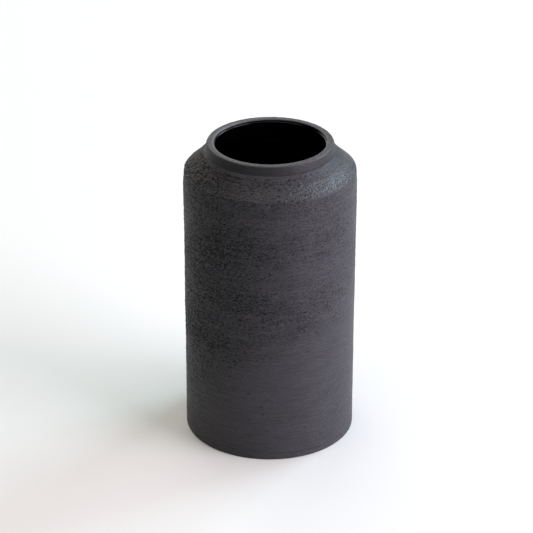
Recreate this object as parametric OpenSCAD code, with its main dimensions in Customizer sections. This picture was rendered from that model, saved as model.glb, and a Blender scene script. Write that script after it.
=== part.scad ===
// Cylindrical stoneware vase with a drawn-in shoulder and a short upright collar.
// It is thrown as clay sections that are luted together: a floor disc, a tall wall,
// a shoulder ring and a collar, with a thin glaze skin fused to the inside.
// Every section is a solid of revolution about Z, and the vase stands on Z = 0.

/* [Body] */
// Overall height, from the table to the top of the rim
height = 200; // [170:1:260]
// Outside diameter of the cylindrical wall
body_d = 110; // [104:1:120]
// Thickness of the clay wall
wall_t = 5.5; // [4.5:0.5:7]

/* [Shoulder] */
// Depth of the shoulder's outer edge below the rim
shoulder_drop = 18; // [16:0.1:24]
// Width of the ledge, the flatter outer band of the shoulder
ledge_w = 7; // [4:0.5:9]
// Slope of the ledge, in degrees from level
ledge_slope = 37; // [28:1:40]
// Rounding where the ledge turns down into the wall
edge_round = 2; // [1:0.5:4]
// Rounding of the hollow curve between the ledge and the steeper inner band
cove_round = 12; // [4:0.5:16]

/* [Collar and mouth] */
// Outside diameter of the rim
rim_d = 80.2; // [79:0.1:82]
// Outside diameter where the collar meets the shoulder
collar_foot_d = 82.4; // [82:0.1:88]
// Height of the collar wall, from its foot to the rim
collar_h = 5.8; // [5:0.1:7]
// Diameter of the clay mouth, before glazing
mouth_d = 71; // [62:0.1:72]
// Rounding on the two edges of the rim
rim_round = 0.8; // [0.3:0.1:1.5]

/* [Base] */
// Thickness of the floor at its middle
floor_t = 7; // [6:0.5:10]
// Rounding on the outside bottom edge
foot_round = 0.8; // [0.4:0.1:3.5]
// Depth of the trimmed hollow under the base
recess_depth = 1.5; // [0.5:0.1:2.5]
// Diameter of the trimmed hollow under the base
recess_d = 82; // [60:1:90]
// Rounding of the corner between the floor and the wall, inside
floor_round = 5; // [3:0.5:6]

/* [Luted joints] */
// Height of the step in the two upper joints, which keeps the sections centred
lap = 2; // [1:0.5:3]
// Thickness of the floor disc's rebated edge, which the wall stands on
floor_edge_t = 4; // [3.5:0.5:5]
// Width of the rebated edge of the floor disc
floor_edge_w = 7; // [6:0.5:9]
// Depth of the joint between the wall and the shoulder below the ledge's edge
wall_joint_drop = 5.5; // [4.5:0.5:20]

/* [Glaze] */
// Thickness of the glaze skin inside the vase
glaze_t = 0.5; // [0.3:0.1:0.8]
// Distance from the top of the rim down to the edge of the glaze
glaze_line = 1.6; // [1.6:0.1:4]

/* [Hidden] */

body_r = body_d / 2;
rim_r = rim_d / 2;
mouth_r = mouth_d / 2;
inner_r = body_r - wall_t;
edge_z = height - shoulder_drop;
collar_foot_r = collar_foot_d / 2;
collar_foot_z = height - collar_h;

// The ledge meets the steeper inner band of the shoulder here.
cove_r = body_r - ledge_w;
cove_z = edge_z + ledge_w * tan(ledge_slope);

// Inside, the ceiling of the shoulder keeps the ledge's slope, one wall thickness below it.
ceiling_drop = wall_t / cos(ledge_slope);
ceiling_edge_z = edge_z - ceiling_drop + wall_t * tan(ledge_slope);
ceiling_mouth_z = ceiling_edge_z + (inner_r - mouth_r) * tan(ledge_slope);
ceiling_round = 6;
throat_round = 3;

// Moving a surface that slopes like the ceiling by 1 lowers its two corners by this much.
slope_shift = 1 / cos(ledge_slope) - tan(ledge_slope);

// The rim's outer and inner edges meet here, at the middle of its flat top.
lip_r = (rim_r + mouth_r) / 2;
glaze_top_z = height - glaze_line;

// A joint between two sections, as a stepped line from the axis outward: it runs at z_in
// as far as radius mid, and at z_out beyond it.
far = body_r + 20;
function joint(z_in, z_out, mid) = [[-1, z_in], [mid, z_in], [mid, z_out], [far, z_out]];

// The whole floor inside the rebate belongs to the floor disc. The upper joints are
// stepped at the middle of the clay.
wall_joint_z = edge_z - wall_joint_drop;
collar_joint_z = collar_foot_z + lap / 2;
ground = joint(-1, -1, body_r);
floor_joint = joint(floor_t + floor_round + 1, floor_edge_t, body_r - floor_edge_w);
wall_joint = joint(wall_joint_z + lap / 2, wall_joint_z - lap / 2, body_r - wall_t / 2);
collar_joint = joint(collar_joint_z + lap / 2, collar_joint_z - lap / 2,
    (collar_foot_r + mouth_r) / 2);
sky = joint(height + 1, height + 1, body_r);

recess_edge = 2;
crease_round = 1;
arc_step = 9;
turn_fn = 180;

clay_colour = [0.20, 0.20, 0.215];
wall_colour = [0.18, 0.18, 0.195];
rim_colour = [0.29, 0.285, 0.30];
glaze_colour = [0.02, 0.02, 0.025];

function unit(v) = v / norm(v);

// Points of the arc of radius r that rounds the corner b between a and c.
function corner(a, b, c, r) =
    let (u = unit(a - b), v = unit(c - b), half = acos(u * v) / 2,
         centre = b + unit(u + v) * r / sin(half), t = r / tan(half),
         from = b + u * t - centre, to = b + v * t - centre,
         sweep = acos(max(-1, min(1, from * to / (r * r)))),
         turn = sign(from[0] * to[1] - from[1] * to[0]),
         n = max(2, ceil(sweep / arc_step)))
    [for (i = [0:n]) let (s = turn * sweep * i / n)
        centre + [from[0] * cos(s) - from[1] * sin(s), from[0] * sin(s) + from[1] * cos(s)]];

// A path through [radius, height, rounding] points; a rounding of 0 leaves the corner sharp.
function flat(p) = [p[0], p[1]];
function rounded(path) = [for (i = [0:len(path) - 1])
    each (i == 0 || i == len(path) - 1 || path[i][2] == 0
        ? [flat(path[i])]
        : corner(flat(path[i - 1]), flat(path[i]), flat(path[i + 1]), path[i][2]))];

// Outside of the vase, from the middle of the underside up to the top of the rim.
outside = rounded([
    [0, recess_depth, 0],
    [recess_d / 2 - recess_edge, recess_depth, 1],
    [recess_d / 2, 0, 1],
    [body_r, 0, foot_round],
    [body_r, edge_z, edge_round],
    [cove_r, cove_z, cove_round],
    [collar_foot_r, collar_foot_z, crease_round],
    [rim_r, height, rim_round],
    [lip_r, height, 0]]);

// The hollow, from the mouth down to the middle of the floor, with its surface moved inward
// by skin. A rounding that bulges into the hollow grows with skin, and the others shrink.
function hollow(skin) = [
    [mouth_r - skin, ceiling_mouth_z - skin * slope_shift, throat_round + skin],
    [inner_r - skin, ceiling_edge_z - skin * slope_shift, ceiling_round - skin],
    [inner_r - skin, floor_t + skin, floor_round - skin],
    [0, floor_t + skin, 0]];

// Inside of the clay, from the top of the rim down to the middle of the floor.
inside = rounded(concat([[lip_r, height, 0], [mouth_r, height, rim_round]], hollow(0)));

// One surface of the glaze, from its edge inside the mouth down to the middle of the floor.
function glaze_surface(skin) = rounded(concat([[mouth_r - skin, glaze_top_z, 0]], hollow(skin)));

// Half of the clay's cross-section, cut through the axis.
module clay_section() {
    polygon(concat(outside, inside));
}

// Points of a path in the opposite order.
function backward(path) = [for (i = [1:len(path)]) path[len(path) - i]];

// The clay between two joints, turned about the axis.
module section(low, high) {
    rotate_extrude($fn = turn_fn) intersection() {
        clay_section();
        polygon(concat(low, backward(high)));
    }
}

module floor_disc() {
    color(wall_colour) section(ground, floor_joint);
}

module body_wall() {
    color(wall_colour) section(floor_joint, wall_joint);
}

module shoulder() {
    color(clay_colour) section(wall_joint, collar_joint);
}

module collar() {
    color(rim_colour) section(collar_joint, sky);
}

// The glaze skin lines the hollow from the floor up to a wiped edge just inside the rim.
module glaze_liner() {
    color(glaze_colour) rotate_extrude($fn = turn_fn)
        polygon(concat(glaze_surface(0), backward(glaze_surface(glaze_t))));
}

floor_disc();
body_wall();
shoulder();
collar();
glaze_liner();
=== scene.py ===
import math

import bmesh
import bpy
import numpy as np
from mathutils import Matrix, Vector


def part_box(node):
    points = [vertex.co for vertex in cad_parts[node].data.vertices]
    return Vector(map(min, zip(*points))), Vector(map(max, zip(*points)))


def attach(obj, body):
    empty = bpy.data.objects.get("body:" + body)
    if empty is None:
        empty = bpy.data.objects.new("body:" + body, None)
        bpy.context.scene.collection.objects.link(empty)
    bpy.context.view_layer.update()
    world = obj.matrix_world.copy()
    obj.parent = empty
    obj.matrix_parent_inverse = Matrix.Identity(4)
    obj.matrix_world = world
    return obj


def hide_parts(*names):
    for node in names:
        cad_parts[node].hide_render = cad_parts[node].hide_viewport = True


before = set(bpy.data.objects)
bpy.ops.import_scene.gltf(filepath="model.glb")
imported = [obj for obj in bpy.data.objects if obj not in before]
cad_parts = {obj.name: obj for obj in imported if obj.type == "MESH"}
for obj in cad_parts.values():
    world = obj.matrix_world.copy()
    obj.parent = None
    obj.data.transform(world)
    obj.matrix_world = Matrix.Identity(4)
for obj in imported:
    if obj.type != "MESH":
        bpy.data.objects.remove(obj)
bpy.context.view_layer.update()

MM = 0.001

# ---- Sizes -----------------------------------------------------------------------------
# The frame gives the main sizes and the places of the joints. The roundings, slopes and
# radii that a box doesn't show repeat the design's own values.

wall_low, wall_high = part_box("body_wall")
shoulder_low, shoulder_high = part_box("shoulder")
collar_low, collar_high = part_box("collar")
glaze_low, glaze_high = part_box("glaze_liner")

HEIGHT = collar_high.z
BODY_R = wall_high.x
INNER_R = glaze_high.x
COLLAR_FOOT_R = collar_high.x
WALL_T = BODY_R - INNER_R

EDGE_Z = HEIGHT - 18 * MM
EDGE_ROUND = 2 * MM
LEDGE_W = 7 * MM
LEDGE_SLOPE = math.radians(37)
COVE_ROUND = 12 * MM
CREASE_ROUND = 1 * MM
RIM_R = 40.1 * MM
MOUTH_R = 35.5 * MM
RIM_ROUND = 0.8 * MM

FOOT_ROUND = 0.8 * MM
RECESS_R = 41 * MM
RECESS_DEPTH = 1.5 * MM
RECESS_EDGE = 2 * MM
RECESS_ROUND = 1 * MM

FLOOR_Z = glaze_low.z
FLOOR_ROUND = 5 * MM
CEILING_ROUND = 6 * MM
THROAT_ROUND = 3 * MM
GLAZE_T = 0.5 * MM
GLAZE_TOP_Z = glaze_high.z

# Heights and radii at which the stepped joints meet the outside and the inside
FLOOR_SEAM_Z = wall_low.z
FLOOR_SEAM_R = BODY_R - 7 * MM
WALL_SEAM_Z = shoulder_low.z
WALL_SEAM_IN_Z = wall_high.z
WALL_SEAM_R = (BODY_R + INNER_R) / 2
COLLAR_SEAM_Z = collar_low.z
COLLAR_SEAM_IN_Z = shoulder_high.z
COLLAR_SEAM_R = (COLLAR_FOOT_R + MOUTH_R) / 2

# Only the visual has these: the rim's outer edge is worn rounder than the design's, and
# the rim isn't quite level, but rises by this much per metre towards +X.
RIM_ROUND_OUT = 1.3 * MM
RIM_LEAN = 0.008


# ---- Outlines --------------------------------------------------------------------------

def rounded(path, arc_step=math.radians(6)):
    """Points of a path through (radius, height, rounding) corners, each rounded by an arc."""
    points = []
    for i, (r, z, rounding) in enumerate(path):
        here = np.array([r, z])
        if i in (0, len(path) - 1) or rounding == 0:
            points.append(here)
            continue
        u = np.array(path[i - 1][:2]) - here
        v = np.array(path[i + 1][:2]) - here
        u, v = u / np.linalg.norm(u), v / np.linalg.norm(v)
        half = math.acos(float(u @ v)) / 2
        centre = here + (u + v) / np.linalg.norm(u + v) * rounding / math.sin(half)
        start = here + u * rounding / math.tan(half) - centre
        end = here + v * rounding / math.tan(half) - centre
        sweep = math.copysign(math.pi - 2 * half, start[0] * end[1] - start[1] * end[0])
        steps = max(3, math.ceil(abs(sweep) / arc_step))
        for a in np.linspace(0, sweep, steps + 1):
            points.append(centre + [start[0] * math.cos(a) - start[1] * math.sin(a),
                                    start[0] * math.sin(a) + start[1] * math.cos(a)])
    return np.array(points)


def arc_length(points):
    """Distance along a path to each of its points."""
    return np.concatenate([[0], np.cumsum(np.linalg.norm(np.diff(points, axis=0), axis=1))])


# Two heights on a path that are closer than this are level.
LEVEL = 1e-6 * MM


def where_z(points, z):
    """Distance along a path at which it first crosses a height."""
    s = arc_length(points)
    for i in range(len(points) - 1):
        a, b = points[i][1], points[i + 1][1]
        if min(a, b) <= z <= max(a, b) and abs(b - a) > LEVEL:
            return s[i] + (s[i + 1] - s[i]) * (z - a) / (b - a)
    raise ValueError(f"the path doesn't cross the height {z}")


def along(points, s):
    """Radius, height and the normal out of the clay, at distances s along a path."""
    at = arc_length(points)
    reach = 0.2 * MM
    r, z = (np.interp(s, at, points[:, k]) for k in (0, 1))
    dr, dz = (np.interp(s + reach, at, points[:, k]) - np.interp(s - reach, at, points[:, k])
              for k in (0, 1))
    size = np.hypot(dr, dz)
    return r, z, dz / size, -dr / size


# From the middle of the underside, up the outside, over the rim and into the mouth
OUTSIDE = rounded([
    (0, RECESS_DEPTH, 0),
    (RECESS_R - RECESS_EDGE, RECESS_DEPTH, RECESS_ROUND),
    (RECESS_R, 0, RECESS_ROUND),
    (BODY_R, 0, FOOT_ROUND),
    (BODY_R, EDGE_Z, EDGE_ROUND),
    (BODY_R - LEDGE_W, EDGE_Z + LEDGE_W * math.tan(LEDGE_SLOPE), COVE_ROUND),
    (COLLAR_FOOT_R, COLLAR_SEAM_Z, CREASE_ROUND),
    (RIM_R, HEIGHT, RIM_ROUND_OUT),
    (MOUTH_R, HEIGHT, RIM_ROUND),
    (MOUTH_R, COLLAR_SEAM_IN_Z, 0)])

CEILING_EDGE_Z = EDGE_Z - WALL_T / math.cos(LEDGE_SLOPE) + WALL_T * math.tan(LEDGE_SLOPE)
CEILING_MOUTH_Z = CEILING_EDGE_Z + (INNER_R - MOUTH_R) * math.tan(LEDGE_SLOPE)


def hollow(skin):
    """Corners of the hollow below the mouth, with its surface moved inward by skin."""
    drop = skin * (1 / math.cos(LEDGE_SLOPE) - math.tan(LEDGE_SLOPE))
    return [(MOUTH_R - skin, CEILING_MOUTH_Z - drop, THROAT_ROUND + skin),
            (INNER_R - skin, CEILING_EDGE_Z - drop, CEILING_ROUND - skin),
            (INNER_R - skin, FLOOR_Z + skin, FLOOR_ROUND - skin),
            (0, FLOOR_Z + skin, 0)]


INSIDE = rounded([(MOUTH_R, HEIGHT, 0)] + hollow(0))


def inside_between(high, low):
    """Points of the clay's inside between two heights, going down."""
    s = arc_length(INSIDE)
    start, end = where_z(INSIDE, high), where_z(INSIDE, low)
    at = np.array([start, *s[(s > start) & (s < end)], end])
    return list(zip(*along(INSIDE, at)[:2]))


# ---- Relief of the clay ----------------------------------------------------------------

# The relief is a field over the whole outside: one row for each distance along the
# outline, and one column for each direction round the pot. Azimuth 0 is +X, and 90 is +Y.
FINE_COLUMNS = 640
WALL_COLUMNS = FINE_COLUMNS // 2
FIELD_STEP = 0.25 * MM
FIELD_S = np.arange(0, arc_length(OUTSIDE)[-1] + FIELD_STEP, FIELD_STEP)
FIELD_ANGLES = np.arange(FINE_COLUMNS) * 2 * math.pi / FINE_COLUMNS
ROWS = FIELD_S[:, None]
ROW_Z = along(OUTSIDE, FIELD_S)[1][:, None]

# A feature this long blurs into a line that runs all round the pot.
ALL_ROUND = 400 * MM

# Distances along the outline: the foot, the joints, the shoulder's edge, the rim's outer
# edge, the end of the lip's rounding inside, and the outline's end in the mouth
S_FOOT = where_z(OUTSIDE, 2 * MM)
S_FLOOR = where_z(OUTSIDE, FLOOR_SEAM_Z)
S_WALL = where_z(OUTSIDE, WALL_SEAM_Z)
S_EDGE = where_z(OUTSIDE, EDGE_Z)
S_COLLAR = where_z(OUTSIDE, COLLAR_SEAM_Z)
S_RIM = where_z(OUTSIDE, HEIGHT - RIM_ROUND_OUT)
S_MOUTH = arc_length(OUTSIDE)[-1]
S_LIP = S_MOUTH - (HEIGHT - RIM_ROUND - COLLAR_SEAM_IN_Z)


def noise(seed, up, around):
    """Random field of unit spread, seamless round the pot, with features of these sizes."""
    white = np.random.default_rng(seed).standard_normal((len(FIELD_S), FINE_COLUMNS))
    f_up = np.fft.fftfreq(len(FIELD_S), FIELD_STEP)[:, None]
    f_around = np.fft.rfftfreq(FINE_COLUMNS, 2 * math.pi * BODY_R / FINE_COLUMNS)[None, :]
    blur = np.exp(-2 * math.pi ** 2 * ((f_up * up) ** 2 + (f_around * around) ** 2))
    field = np.fft.irfft2(np.fft.rfft2(white) * blur, s=white.shape)
    return field / field.std()


def fade(x, low, high):
    """0 below low, 1 above high, and smooth between."""
    t = np.clip((x - low) / (high - low), 0, 1)
    return t * t * (3 - 2 * t)


def band(s, centre, width):
    """1 at a distance along the outside, falling to 0 on both sides of it."""
    return np.exp(-((s - centre) / width) ** 2)


def lobe(azimuth, power):
    """1 towards an azimuth and 0 away from it, for each column."""
    return (0.5 + 0.5 * np.cos(FIELD_ANGLES - math.radians(azimuth))) ** power


# Parts of the outside: 1 in the rows that belong to each, and 0 elsewhere, with soft ends
ON_SIDE = fade(ROWS, S_FOOT - 1 * MM, S_FOOT + 5 * MM)
ON_COLLAR = fade(ROWS, S_COLLAR - 1 * MM, S_COLLAR + 1 * MM)
IN_MOUTH = fade(ROWS, S_RIM + 4 * MM, S_MOUTH - 2.5 * MM)
UNDER = 1 - fade(ROWS, RECESS_R - 6 * MM, RECESS_R - 3 * MM)
OFF_JOINT = 1 - band(ROWS, S_WALL, 0.7 * MM)


def coarseness_and_shade():
    """The clay's coarseness: smooth foot, rougher upper wall and shoulder, sponged collar. Its
    rise towards -X is partly painted shade.
    """
    smooth_wall = 0.15
    smooth_collar = 0.18
    # Towards -X, the side away from the windows, the clay is coarser, and that reaches further
    # down: partly the clay's grain, partly painted shade, as coarser clay is coloured darker.
    shade_further_down = 55 * MM * lobe(195, 4)
    wall = smooth_wall + (1 - smooth_wall) * fade(ROW_Z + shade_further_down, 52 * MM, 106 * MM)
    sponged = fade(ROWS, S_COLLAR - 2.5 * MM, S_COLLAR + 0.5 * MM)
    drift = 0.12 * noise(20, 10 * MM, 22 * MM)
    rough_and_shaded_side = 0.48 + 0.52 * lobe(200, 1)
    zones = np.clip(wall * rough_and_shaded_side + drift, 0.05, 1.15) * ON_SIDE
    return zones * (1 - sponged) + smooth_collar * sponged


def groove(height, start, end, depth, width):
    """A scraped groove at a height, between two angles, with ends that run out."""
    s = where_z(OUTSIDE, height)
    angle = np.degrees(FIELD_ANGLES)
    run_out = 12
    open_ends = fade(angle, start, start + run_out) * (1 - fade(angle, end - run_out, end))
    wander = 0.25 * MM * np.sin(np.radians(angle * 3))
    return -depth * band(ROWS, s + wander, width) * open_ends


def scraped_lines():
    """The grooves that a rib has left in the wall."""
    return (groove(162 * MM, 205, 242, 0.20 * MM, 0.5 * MM)
            + groove(EDGE_Z - 5 * MM, 255, 300, 0.14 * MM, 0.4 * MM)
            + groove(148 * MM, 20, 95, 0.16 * MM, 0.5 * MM)
            + groove(50 * MM, 215, 252, 0.12 * MM, 0.4 * MM)
            + groove(37 * MM, 245, 288, 0.12 * MM, 0.4 * MM)
            + groove(60 * MM, 120, 175, 0.14 * MM, 0.4 * MM))


def thrown_shape(rough_and_shade):
    """A slight waist, a worn shoulder edge, slow swellings and throwing rings."""
    waist = -0.08 * MM * np.sin(np.clip(ROW_Z / EDGE_Z, 0, 1) * math.pi) * (1 - ON_COLLAR)
    worn_edge = (-0.40 * MM * band(ROWS, S_EDGE, 5.5 * MM)
                 - 0.35 * MM * band(ROWS, S_EDGE, 9 * MM) * lobe(190, 2))
    swell = 0.10 * MM * noise(1, 16 * MM, 40 * MM)
    rings = 0.030 * MM * noise(2, 2.2 * MM, ALL_ROUND) * (1 - 0.4 * rough_and_shade)
    return worn_edge + (waist + swell + rings) * ON_SIDE


def scraped_grain(rough_and_shade):
    """Fine scraping marks, and the grain of the clay."""
    scrapes = 0.07 * MM * noise(3, 0.28 * MM, 4 * MM) * (0.25 + 0.75 * rough_and_shade)
    clay_grain = 0.08 * MM * noise(4, 0.28 * MM, 0.65 * MM) * rough_and_shade
    return scrapes * ON_SIDE * (1 - ON_COLLAR) + clay_grain


def tears(rough_and_shade):
    """Where scraping has torn grog out of the clay, from 0 to 1: in clusters, and rarely
    where the clay is smooth."""
    clusters = 0.6 * noise(5, 0.8 * MM, 9 * MM) + 0.4 * noise(6, 7 * MM, 12 * MM)
    pull = noise(7, 0.25 * MM, 0.85 * MM) + 0.30 * clusters
    torn = np.clip((pull - (2.8 - 1.55 * rough_and_shade)) / 1.2, 0, 1)
    return torn * ON_SIDE * (1 - ON_COLLAR)


def turned_collar():
    """Fine turning lines and a slow unevenness on the collar, and the crease at its foot."""
    lines = 0.012 * MM * noise(8, 0.35 * MM, ALL_ROUND)
    uneven = 0.05 * MM * noise(9, 3 * MM, 30 * MM)
    crease = -0.16 * MM * band(ROWS, S_COLLAR, 0.45 * MM)
    return (lines + uneven) * ON_COLLAR + crease


def relief(rough_and_shade):
    """Height of the clay above its outline, and how torn it is, over the whole outside."""
    thrown = thrown_shape(rough_and_shade)
    scraped = scraped_grain(rough_and_shade)
    sponged = 0.03 * MM * noise(11, 0.30 * MM, 0.8 * MM) * ON_COLLAR
    torn = tears(rough_and_shade)
    collar_lines = turned_collar()
    trimmed = 0.05 * MM * noise(10, 0.9 * MM, ALL_ROUND) * UNDER
    shape = thrown + sponged + collar_lines + trimmed
    fine = (scraped - 0.24 * MM * torn + scraped_lines()) * OFF_JOINT
    return (shape + fine) * (1 - IN_MOUTH), torn * OFF_JOINT


def wear_and_glint_zones():
    """Where the clay shows wear from rubbing: the rim, and the ledge that was pressed flat with a
    rib, strongest towards azimuth 335; and painted highlights, bright lines along the rim's outer
    and inner edges that are strongest towards some sides.
    """
    top = 0.35 * fade(ROWS, S_RIM + 1.2 * MM, S_RIM + 2.2 * MM)
    # Painted highlight: a bright line along the rim's outer edge, strongest towards azimuth 320.
    outer_edge_glint = 0.55 * band(ROWS, S_RIM + 1.5 * MM, 0.45 * MM) * lobe(320, 2)
    # Along the rim's inner edge: wear all round, brighter towards azimuth 205 as a painted
    # highlight.
    inner_edge_wear_and_glint = 0.65 * fade(ROWS, S_LIP - 2.1 * MM, S_LIP - 1.5 * MM)
    inner_edge_wear_and_glint = inner_edge_wear_and_glint * (0.25 + 0.75 * lobe(205, 1))
    ragged = ROWS + 0.35 * MM * noise(12, 0.5 * MM, 1.5 * MM)
    ledge = fade(ragged, S_EDGE + 0.2 * MM, S_EDGE + 1.4 * MM)
    ledge = ledge * (1 - fade(ROWS, S_EDGE + 6 * MM, S_EDGE + 13 * MM))
    return np.clip(top + outer_edge_glint + inner_edge_wear_and_glint + 0.85 * ledge * lobe(335, 2), 0, 1)


def glazed_zone():
    """Where the glaze has run over the clay: from the lip's rounding down into the mouth."""
    return np.repeat(fade(ROWS, S_LIP - 0.3 * MM, S_LIP + 0.1 * MM), FINE_COLUMNS, axis=1)


COARSE_AND_SHADE = coarseness_and_shade()
RELIEF, TORN = relief(COARSE_AND_SHADE)
FIELDS = {"torn": TORN, "coarse_and_shade": COARSE_AND_SHADE, "wear_and_glint": wear_and_glint_zones(), "glazed": glazed_zone()}


def sample(field, s, columns):
    """Rows of a field at distances s along the outside, thinned to this many columns."""
    before_last_row = len(FIELD_S) - 1.001
    at = np.clip(s / FIELD_STEP, 0, before_last_row)
    low = at.astype(int)
    t = (at - low)[:, None]
    every = FINE_COLUMNS // columns
    return (field[low] * (1 - t) + field[low + 1] * t)[:, ::every]


# ---- Turned meshes ---------------------------------------------------------------------

def turned(name, radius, height, fields, wrap):
    """A closed mesh from rows of radius and height, with one value in a row per column."""
    count, columns = radius.shape
    angles = np.arange(columns) * 2 * math.pi / columns
    x = radius * np.cos(angles)
    y = radius * np.sin(angles)
    # Only the top of the pot leans.
    lean = RIM_LEAN * x * fade(height, EDGE_Z - 12 * MM, EDGE_Z + 2 * MM)
    verts = np.stack([x, y, height + lean], axis=2).reshape(-1, 3)
    i = np.arange(count if wrap else count - 1)[:, None]
    j = np.arange(columns)[None, :]
    across, up = (j + 1) % columns, (i + 1) % count
    quads = np.stack([i * columns + j, i * columns + across,
                      up * columns + across, up * columns + j], axis=2)
    mesh = bpy.data.meshes.new(name)
    mesh.from_pydata(verts.tolist(), [], quads.reshape(-1, 4).tolist())
    for field, values in fields.items():
        mesh.attributes.new(field, "FLOAT", "POINT").data.foreach_set("value", values.reshape(-1))
    if not wrap:
        close_poles(mesh)
    mesh.shade_smooth()
    piece = bpy.data.objects.new(name, mesh)
    bpy.context.scene.collection.objects.link(piece)
    return piece


def close_poles(mesh):
    """Merge the first and the last row, which lie on the axis, into one point each."""
    work = bmesh.new()
    work.from_mesh(mesh)
    bmesh.ops.remove_doubles(work, verts=work.verts, dist=0.0005 * MM)
    work.to_mesh(mesh)
    work.free()


def even(start, end, gap):
    """Distances from start to end, spaced evenly by about gap."""
    return np.linspace(start, end, max(2, math.ceil((end - start) / gap)) + 1)


def rows(*stretches):
    """Distances along stretches that meet, each given as its start, its end and a gap."""
    first, *others = [even(*stretch) for stretch in stretches]
    return np.concatenate([first] + [s[1:] for s in others])


def section(name, s, hidden, columns=FINE_COLUMNS, wrap=True):
    """One clay section: its outside with relief, and plain hidden faces that close it."""
    r, z, nr, nz = (v[:, None] for v in along(OUTSIDE, s))
    lift = sample(RELIEF, s, columns) * (r > 0)
    back = np.array(hidden)
    blank = np.zeros((len(back), columns))
    radius = np.vstack([r + nr * lift, back[:, :1] + blank])
    height = np.vstack([z + nz * lift, back[:, 1:] + blank])
    fields = {field: np.vstack([sample(values, s, columns), blank])
              for field, values in FIELDS.items()}
    return turned(name, radius, height, fields, wrap)


def floor_disc():
    """The underside with its trimmed hollow, the foot, and the floor inside with its toe,
    which is the part of the rounded corner inside that belongs to the disc."""
    just_above_floor = FLOOR_Z + 0.01 * MM
    toe = [(r, z) for r, z in inside_between(HEIGHT, just_above_floor)
           if r < FLOOR_SEAM_R and z < EDGE_Z / 2]
    side = S_FOOT - 3 * MM
    return section("floor_disc_clay", rows((0, side, 0.9 * MM), (side, S_FLOOR, 0.25 * MM)),
                   [(FLOOR_SEAM_R, FLOOR_SEAM_Z), (FLOOR_SEAM_R, toe[0][1])] + toe
                   + [(0, FLOOR_Z)],
                   WALL_COLUMNS, wrap=False)


def body_wall():
    """The wall, whose rows are further apart low down, where the clay is smoother."""
    coarse_from = S_FLOOR + 0.36 * (S_WALL - S_FLOOR)
    s = rows((S_FLOOR, coarse_from, 0.9 * MM), (coarse_from, S_WALL, 0.52 * MM))
    toe_z = FLOOR_Z + FLOOR_ROUND
    # The toe is cut straight, so at the floor's seam it stands 0.7 mm out of the glaze.
    cut_z = FLOOR_Z + 0.7 * FLOOR_ROUND
    return section("body_wall_clay", s,
                   [(WALL_SEAM_R, WALL_SEAM_Z), (WALL_SEAM_R, WALL_SEAM_IN_Z)]
                   + inside_between(WALL_SEAM_IN_Z, toe_z)
                   + [(FLOOR_SEAM_R, cut_z), (FLOOR_SEAM_R, FLOOR_SEAM_Z)],
                   WALL_COLUMNS)


def shoulder():
    return section("shoulder_clay", even(S_WALL, S_COLLAR, 0.4 * MM),
                   [(COLLAR_SEAM_R, COLLAR_SEAM_Z), (COLLAR_SEAM_R, COLLAR_SEAM_IN_Z)]
                   + inside_between(COLLAR_SEAM_IN_Z, WALL_SEAM_IN_Z)
                   + [(WALL_SEAM_R, WALL_SEAM_IN_Z), (WALL_SEAM_R, WALL_SEAM_Z)])


def collar():
    return section("collar_clay", even(S_COLLAR, S_MOUTH, 0.25 * MM),
                   [(COLLAR_SEAM_R, COLLAR_SEAM_IN_Z), (COLLAR_SEAM_R, COLLAR_SEAM_Z)])


def glaze_liner():
    """The glaze skin: a smooth back on the clay's outline, and a face with throwing rings."""
    lip = [(MOUTH_R, GLAZE_TOP_Z, 0), (MOUTH_R - GLAZE_T, GLAZE_TOP_Z, GLAZE_T * 0.9)]
    back = rounded([(MOUTH_R, GLAZE_TOP_Z, 0)] + hollow(0))[::-1]
    face = rounded(lip + hollow(GLAZE_T))[1:]
    s = rows((0, 3 * MM, 0.1 * MM), (3 * MM, arc_length(face)[-1], 1.3 * MM))
    r, z, nr, nz = (v[:, None] for v in along(face, s))
    lift = spiral_rings(z)
    blank = np.zeros((len(back), WALL_COLUMNS))
    radius = np.vstack([back[:, :1] + blank, r + nr * lift])
    height = np.vstack([back[:, 1:] + blank, z + nz * lift])
    return turned("liner_glaze", radius, height, {}, wrap=False)


def spiral_rings(z):
    """How far the throwing rings stand out at heights z, as one spiral up the inside."""
    pitch = 8 * MM
    turns = np.arange(WALL_COLUMNS) / WALL_COLUMNS
    spiral = 0.5 + 0.5 * np.sin(2 * math.pi * (z / pitch - turns))
    above_floor = fade(z, FLOOR_Z + 9 * MM, FLOOR_Z + 25 * MM)
    below_ceiling = 1 - fade(z, CEILING_EDGE_Z - 12 * MM, CEILING_EDGE_Z)
    return 0.4 * MM * spiral * above_floor * below_ceiling


# ---- Materials -------------------------------------------------------------------------

CLAY_TONE = (0.0325, 0.0310, 0.0360)
COLLAR_TONE = (0.0170, 0.0164, 0.0184)
# RIM_TONE colours the rim where it shows wear, and the painted highlights along the rim's edges.
RIM_TONE = (0.088, 0.083, 0.094)
GLAZE_TONE = (0.0006, 0.0006, 0.0007)
TABLE_TONE = (0.86, 0.855, 0.84)


def add(tree, kind, inputs, **settings):
    """A shader node with its settings, and a value or a link on each of its inputs."""
    node = tree.nodes.new("ShaderNode" + kind)
    for name, value in settings.items():
        setattr(node, name, value)
    for name, value in inputs.items():
        put(tree, value, node.inputs[name])
    return node


def put(tree, value, socket):
    """Link a socket to an input, or set the input's value."""
    if isinstance(value, bpy.types.NodeSocket):
        tree.links.new(value, socket)
    else:
        socket.default_value = value


def calc(tree, operation, a, b):
    """Arithmetic on two values."""
    return add(tree, "Math", {0: a, 1: b}, operation=operation).outputs[0]


def weighted(tree, *terms):
    """Sum of values, each times its weight."""
    total = 0.0
    for value, weight in terms:
        inputs = {0: value, 1: weight, 2: total}
        total = add(tree, "Math", inputs, operation="MULTIPLY_ADD").outputs[0]
    return total


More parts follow.
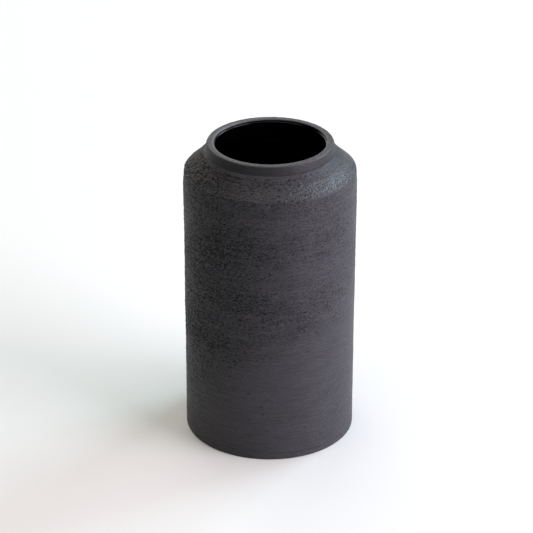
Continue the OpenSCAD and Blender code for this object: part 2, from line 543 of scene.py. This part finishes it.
def step(tree, value, low, high, bottom=0.0, top=1.0):
    """Smooth step of a value between low and high."""
    return add(tree, "MapRange", {"Value": value, "From Min": low, "From Max": high,
                                  "To Min": bottom, "To Max": top},
               interpolation_type="SMOOTHSTEP").outputs["Result"]


def grain(tree, around, up, detail=2.0):
    """Noise in the clay itself, with features of these sizes round the pot and up it."""
    place = add(tree, "TexCoord", {}).outputs["Object"]
    scaled = add(tree, "VectorMath", {0: place, 1: (1 / around, 1 / around, 1 / up)},
                 operation="MULTIPLY").outputs[0]
    return add(tree, "TexNoise", {"Vector": scaled, "Scale": 1.0, "Detail": detail,
                                  "Roughness": 0.55}).outputs[0]


def attribute(tree, name):
    """A value that a mesh carries."""
    return add(tree, "Attribute", {}, attribute_name=name).outputs["Fac"]


def tint(tree, factor, a, b):
    """Colour between a and b."""
    node = add(tree, "Mix", {"Factor": factor}, data_type="RGBA")
    for value, socket in ((a, node.inputs["A"]), (b, node.inputs["B"])):
        put(tree, value if isinstance(value, bpy.types.NodeSocket) else (*value, 1), socket)
    return node.outputs["Result"]


def blank_material(name):
    """A material with an empty principled shader."""
    material = bpy.data.materials.new(name)
    material.use_nodes = True
    return material, material.node_tree, material.node_tree.nodes["Principled BSDF"]


def bump(tree, shader, height, depth):
    """Bump of this depth, in metres, from a pattern of heights."""
    node = add(tree, "Bump", {"Height": height, "Strength": 1.0, "Distance": depth})
    put(tree, node.outputs["Normal"], shader.inputs["Normal"])


def shade(tone, factor):
    """A tone made lighter or darker."""
    return tuple(factor * c for c in tone)


def clay_patterns(tree):
    """The noise in the clay, and the values that the mesh carries, by name."""
    patterns = {"clouds": grain(tree, 16 * MM, 7 * MM),
                "streaks": grain(tree, 22 * MM, 0.9 * MM),
                "scuffs": grain(tree, 5 * MM, 1.0 * MM),
                "pores": grain(tree, 1.5 * MM, 0.62 * MM),
                "clusters": grain(tree, 10 * MM, 3 * MM),
                "sand": grain(tree, 1.5 * MM, 0.8 * MM, detail=1.0)}
    patterns.update({field: attribute(tree, field) for field in FIELDS})
    return patterns


def clay_pits(tree, clay):
    """Pits: the strongest pores, with more of them where the clay is coarser, and every torn
    spot. The colour darkens them as painted shade.
    """
    crowding = weighted(tree, (clay["coarse_and_shade"], 0.26), (clay["clusters"], 0.20))
    pits = step(tree, calc(tree, "ADD", clay["pores"], crowding), 0.72, 1.04)
    torn = step(tree, clay["torn"], 0.05, 0.8, 0.0, 0.8)
    return calc(tree, "MAXIMUM", pits, torn)


def clay_colour(tree, clay, pits, tone, wear_and_glint_tone):
    """A cloudy tone, lighter where the clay is smoother (which also paints shade towards -X) and
    where the rim shows wear, with painted highlights along the rim's edges, grog, and pits
    darkened as painted shade.
    """
    marks = weighted(tree, (clay["clouds"], 0.3), (clay["streaks"], 0.45),
                     (clay["scuffs"], 0.25))
    cloudy = tint(tree, step(tree, marks, 0.39, 0.61), shade(tone, 0.74), shade(tone, 1.26))
    # Smoother clay is coloured up to 1.4 times lighter. As the clay is coarser towards -X, this
    # also paints shade on that side and light on the side towards the windows.
    smooth = step(tree, clay["coarse_and_shade"], 0.2, 0.8, 0.36, 0.0)
    body = tint(tree, smooth, cloudy, shade(tone, 1.4))
    # The rim's wear and the painted highlights along its edges are coloured with
    # wear_and_glint_tone.
    rubbed_and_glint = tint(tree, clay["wear_and_glint"], body, wear_and_glint_tone)
    grog = step(tree, clay["sand"], 0.62, 0.76, 0.0, 0.6)
    speckled = tint(tree, grog, rubbed_and_glint, shade(tone, 2.0))
    # Painted shade: pits and torn spots are coloured down to 0.3 of the tone.
    shaded_in_pits = tint(tree, pits, speckled, shade(tone, 0.3))
    return tint(tree, clay["glazed"], shaded_in_pits, GLAZE_TONE)


def clay_roughness(tree, clay):
    """Matte, a little less so where the clay shows wear and along the rim's painted highlights,
    and glossy where it's glazed.
    """
    matte = step(tree, clay["pores"], 0.3, 0.7, 0.46, 0.62)
    rubbed_and_glint = weighted(tree, (matte, 1.0), (clay["wear_and_glint"], -0.14))
    return calc(tree, "MULTIPLY", rubbed_and_glint, step(tree, clay["glazed"], 0.0, 1.0, 1.0, 0.25))


def clay_specular(tree, clay, pits):
    """Clay that shows wear, and the rim's painted highlight lines, reflect more, and a pit hides
    nearly all of its reflection.
    """
    level = calc(tree, "ADD", 0.3, calc(tree, "MULTIPLY", clay["wear_and_glint"], 0.3))
    return calc(tree, "MULTIPLY", level, step(tree, pits, 0.0, 1.0, 1.0, 0.15))


def clay_height(tree, clay):
    """Heights for the bump: scraping lines and sand, less the pores, which are deeper where the
    clay is coarser.
    """
    lines = weighted(tree, (clay["scuffs"], 0.4), (clay["streaks"], 0.8))
    sandy = weighted(tree, (step(tree, clay["coarse_and_shade"], 0.1, 0.9, 0.25, 0.75), 1.0),
                     (clay["wear_and_glint"], 0.9))
    sanded = calc(tree, "ADD", lines, calc(tree, "MULTIPLY", clay["sand"], sandy))
    holes = calc(tree, "MULTIPLY", clay["pores"], calc(tree, "ADD", clay["coarse_and_shade"], 0.05))
    return calc(tree, "SUBTRACT", sanded, holes)


def stoneware(name, tone, wear_and_glint_tone, bump_depth):
    """Matte black clay: pits, scraping lines, grog and a cloudy tone."""
    material, tree, shader = blank_material(name)
    clay = clay_patterns(tree)
    pits = clay_pits(tree, clay)
    put(tree, clay_colour(tree, clay, pits, tone, wear_and_glint_tone), shader.inputs["Base Color"])
    put(tree, clay_roughness(tree, clay), shader.inputs["Roughness"])
    put(tree, clay_specular(tree, clay, pits), shader.inputs["Specular IOR Level"])
    bump(tree, shader, clay_height(tree, clay), bump_depth)
    return material


def black_glaze():
    """Glossy black glaze, with a faint orange-peel unevenness."""
    material, tree, shader = blank_material("liner_glaze_black")
    shader.inputs["Base Color"].default_value = (*GLAZE_TONE, 1)
    shader.inputs["Specular IOR Level"].default_value = 0.3
    ripple = grain(tree, 2.5 * MM, 2.5 * MM)
    put(tree, step(tree, ripple, 0.3, 0.7, 0.10, 0.16), shader.inputs["Roughness"])
    bump(tree, shader, ripple, 0.02 * MM)
    return material


def table_white():
    """Plain pale table top."""
    material, _, shader = blank_material("table_white")
    shader.inputs["Base Color"].default_value = (*TABLE_TONE, 1)
    shader.inputs["Roughness"].default_value = 0.55
    return material


# ---- The vase --------------------------------------------------------------------------

clay = stoneware("fired_clay", CLAY_TONE, CLAY_TONE, 0.55 * MM)
smooth_clay = stoneware("sponged_clay", COLLAR_TONE, RIM_TONE, 0.22 * MM)
for piece, node, material, slot in (
        (floor_disc(), "floor_disc", clay, "stoneware"),
        (body_wall(), "body_wall", clay, "stoneware"),
        (shoulder(), "shoulder", clay, "stoneware"),
        (collar(), "collar", smooth_clay, "stoneware_smooth"),
        (glaze_liner(), "glaze_liner", black_glaze(), "black_glaze")):
    piece.data.materials.append(material)
    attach(piece, "root")
    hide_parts(node)


# ---- Table, light and camera -----------------------------------------------------------

def table_top(half=4.0):
    """A level square of table, from -half to half in metres, on which the vase stands."""
    mesh = bpy.data.meshes.new("table_top")
    corners = [(-half, -half, 0), (half, -half, 0), (half, half, 0), (-half, half, 0)]
    mesh.from_pydata(corners, [], [(0, 1, 2, 3)])
    mesh.materials.append(table_white())
    table = bpy.data.objects.new("table_top", mesh)
    bpy.context.scene.collection.objects.link(table)


def panel(name, azimuth, elevation, distance, size, watts, colour):
    """A soft light panel facing the middle of the vase, from a direction in degrees."""
    light = bpy.data.lights.new(name, "AREA")
    light.shape = "RECTANGLE"
    light.size, light.size_y = size
    light.energy = watts
    light.color = colour
    a, e = math.radians(azimuth), math.radians(elevation)
    aim = Vector((0, 0, HEIGHT / 2))
    away = Vector((math.cos(a) * math.cos(e), math.sin(a) * math.cos(e), math.sin(e)))
    lamp = bpy.data.objects.new(name, light)
    lamp.location = aim + away * distance
    lamp.rotation_euler = away.to_track_quat("Z", "Y").to_euler()
    bpy.context.scene.collection.objects.link(lamp)


def studio_world(colour, strength):
    """Even light from all sides."""
    world = bpy.data.worlds.new("studio")
    world.use_nodes = True
    background = world.node_tree.nodes["Background"]
    background.inputs["Color"].default_value = (*colour, 1)
    background.inputs["Strength"].default_value = strength
    bpy.context.scene.world = world


def camera(place, pitch, yaw, roll, lens):
    """The camera: pitch down from level, yaw to the right of +Y, and roll, in degrees."""
    pitch, yaw, roll = math.radians(pitch), math.radians(yaw), math.radians(roll)
    forward = Vector((math.sin(yaw) * math.cos(pitch), math.cos(yaw) * math.cos(pitch),
                      -math.sin(pitch)))
    level = Vector((math.cos(yaw), -math.sin(yaw), 0))
    above = level.cross(forward)
    right = level * math.cos(roll) + above * math.sin(roll)
    up = above * math.cos(roll) - level * math.sin(roll)
    data = bpy.data.cameras.new("camera")
    data.sensor_width = 36
    data.lens = lens
    obj = bpy.data.objects.new("camera", data)
    turn = Matrix((right, up, -forward)).transposed()
    obj.matrix_world = Matrix.Translation(place) @ turn.to_4x4()
    bpy.context.scene.collection.objects.link(obj)
    bpy.context.scene.camera = obj


WHITE = (1, 1, 1)
WINDOW = (1.05, 0.975, 1.11)
FILL = (1.02, 0.995, 0.90)
SKY = (0.72, 0.98, 1.10)
BOUNCE = (1.0, 0.99, 0.98)

table_top()
panel("window_front", -26, 20, 2.2, (1.4, 1.3), 47, WINDOW)
panel("window_side", 12, 20, 2.2, (1.4, 1.3), 18, WINDOW)
panel("sky", 40, 35, 2.2, (0.9, 0.7), 22, SKY)
panel("back_wall", 95, 20, 2.2, (1.8, 1.2), 10, BOUNCE)
panel("back_left", 130, 20, 2.2, (1.8, 1.2), 10, FILL)
panel("ceiling", 230, 78, 2.0, (2.2, 2.2), 24, FILL)
studio_world(WHITE, 0.01)
camera(place=(0, -1.3257, 0.7752), pitch=26.58, yaw=-0.096, roll=0.140, lens=155.3)
bpy.context.scene.view_settings.view_transform = "Standard"
